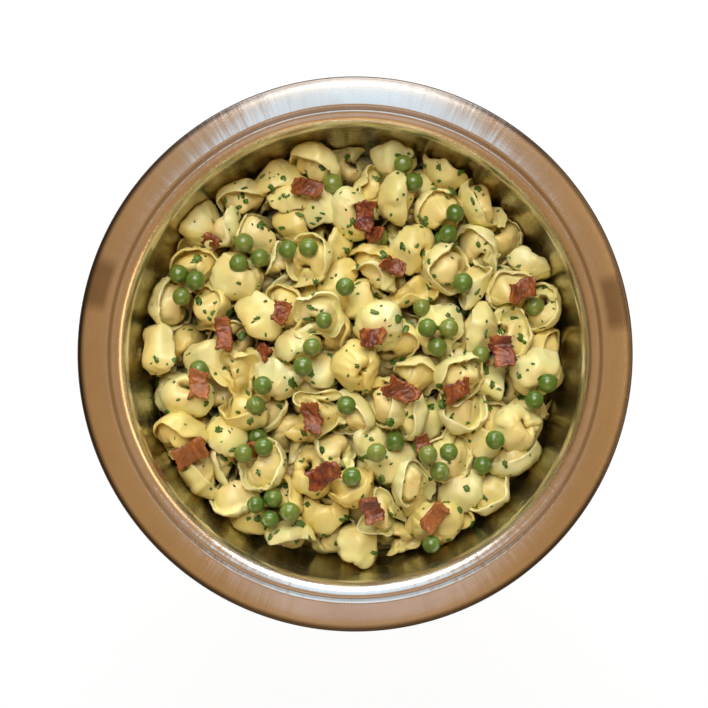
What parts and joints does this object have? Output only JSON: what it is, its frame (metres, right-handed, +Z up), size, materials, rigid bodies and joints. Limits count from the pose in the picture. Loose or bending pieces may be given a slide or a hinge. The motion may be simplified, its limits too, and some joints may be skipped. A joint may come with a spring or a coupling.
{
  "type": "bowl of tortellini",
  "caption": "Tortellini with peas, bacon bits and chopped parsley, heaped in a brushed steel bowl with a wide rim.",
  "frame": {"origin": "on the table, under the middle of the bowl's flat base", "axes": "+Z up out of the bowl, +Y towards the far side, +X to the right; the bowl is round about Z"},
  "size_m": [0.2498, 0.2498, 0.078],
  "materials": {
    "steel": "fine circular brushing, satin",
    "pasta": "moist cooked egg pasta, soft gloss",
    "pea": "moist skin, glossy",
    "bacon": "fried, oily gloss"
  },
  "bodies": {
    "root": {"bowl": "steel", "pasta_heap": "pasta", "pea_01": "pea", "pea_02": "pea", "pea_03": "pea", "pea_04": "pea", "pea_05": "pea", "pea_06": "pea", "pea_07": "pea", "pea_08": "pea", "pea_09": "pea", "pea_10": "pea", "pea_11": "pea", "pea_12": "pea", "pea_13": "pea", "pea_14": "pea", "pea_15": "pea", "pea_16": "pea", "pea_17": "pea", "pea_18": "pea", "pea_19": "pea", "pea_20": "pea", "pea_21": "pea", "pea_22": "pea", "pea_23": "pea", "pea_24": "pea", "pea_25": "pea", "pea_26": "pea", "pea_27": "pea", "pea_28": "pea", "pea_29": "pea", "pea_30": "pea", "pea_31": "pea", "pea_32": "pea", "bacon_01": "bacon", "bacon_02": "bacon", "bacon_03": "bacon", "bacon_04": "bacon", "bacon_05": "bacon", "bacon_06": "bacon", "bacon_07": "bacon", "bacon_08": "bacon", "bacon_09": "bacon", "bacon_10": "bacon", "bacon_11": "bacon", "bacon_12": "bacon", "bacon_13": "bacon", "bacon_14": "bacon", "bacon_15": "bacon", "bacon_16": "bacon"}
  },
  "joints": []
}
